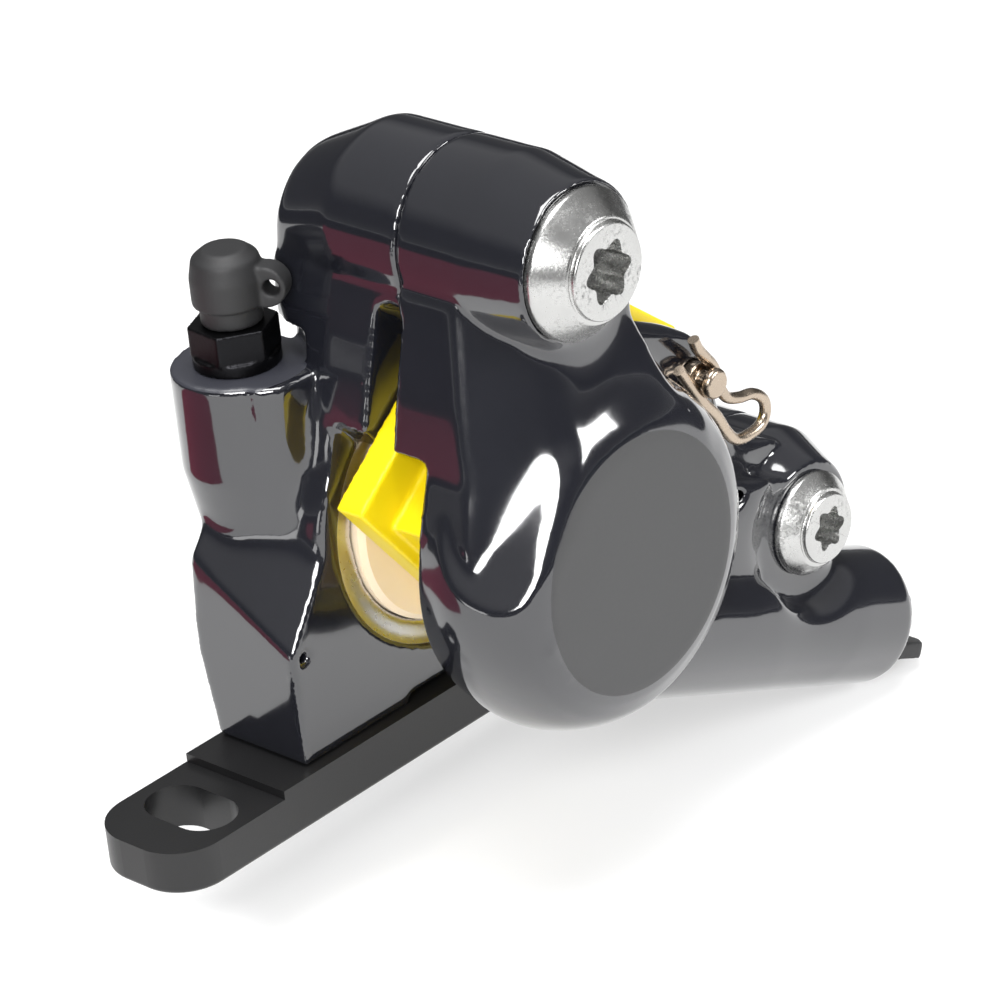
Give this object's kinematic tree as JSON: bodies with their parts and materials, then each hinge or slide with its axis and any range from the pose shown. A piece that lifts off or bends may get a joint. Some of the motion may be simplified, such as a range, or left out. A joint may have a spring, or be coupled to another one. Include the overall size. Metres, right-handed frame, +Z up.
{
  "type": "bicycle disc brake caliper",
  "caption": "Two-piece hydraulic disc brake caliper on a flat mounting plate, with sliding pistons, bleed nipple, spacer, pad axle and hose port plug.",
  "frame": {"origin": "on the mounting plate's underside, midway between its two slots", "axes": "+X along the plate towards the hose port, +Y along the rotor's axis from the wheel towards the frame side, +Z up from the plate's underside"},
  "size_m": [0.0846, 0.0401, 0.0681],
  "materials": {
    "coated_body": "gloss black coating",
    "plate_black": "satin black",
    "bolt_zinc": "bright zinc plating",
    "fixing_steel": "black oxide",
    "piston_ceramic": "matt cream",
    "seal_rubber": "matt",
    "nipple_black": "black plating",
    "cap_rubber": "matt black",
    "spacer_yellow": "semi-gloss yellow",
    "axle_steel": "bright steel with a bronze tint",
    "clip_steel": "bronze tint",
    "plug_black": "black"
  },
  "bodies": {
    "caliper": {"mount_plate": "plate_black", "mount_half": "coated_body", "wheel_half": "coated_body", "caliper_fixing_bolts": "fixing_steel", "upper_body_bolt": "bolt_zinc", "lower_body_bolt": "bolt_zinc", "mount_side_seal": "seal_rubber", "wheel_side_seal": "seal_rubber", "crossing_ring": "seal_rubber", "bleed_spacer": "spacer_yellow"},
    "mount_piston": {"mount_side_piston": "piston_ceramic"},
    "wheel_piston": {"wheel_side_piston": "piston_ceramic"},
    "nipple": {"bleed_nipple": "nipple_black"},
    "cap": {"nipple_cap": "cap_rubber"},
    "axle": {"pad_axle": "axle_steel"},
    "clip": {"axle_clip": "clip_steel"},
    "plug": {"port_plug": "plug_black"}
  },
  "joints": [
    {"name": "mount_piston_slide", "type": "slide", "parent": "caliper", "child": "mount_piston", "axis": [0, 1, 0], "range_m": [0, 0.0008]},
    {"name": "wheel_piston_slide", "type": "slide", "parent": "caliper", "child": "wheel_piston", "axis": [0, -1, 0], "range_m": [0, 0.0008]},
    {"name": "nipple_turn", "type": "hinge", "parent": "caliper", "child": "nipple", "pos_m": [-0.01815, 0.00514, 0.035], "axis": [0, 0, 1], "range_deg": [0, 90]},
    {"name": "cap_pull", "type": "slide", "parent": "caliper", "child": "cap", "axis": [0, 0, 1], "range_m": [0, 0.008]},
    {"name": "axle_turn", "type": "hinge", "parent": "caliper", "child": "axle", "pos_m": [0.01305, 0, 0.0301], "axis": [0, 1, 0], "range_deg": [-180, 180]},
    {"name": "clip_pull", "type": "slide", "parent": "caliper", "child": "clip", "axis": [0.5707, 0, -0.8211], "range_m": [0, 0.004]},
    {"name": "plug_pull", "type": "slide", "parent": "caliper", "child": "plug", "axis": [0.9212, 0, -0.3891], "range_m": [0, 0.013]}
  ]
}
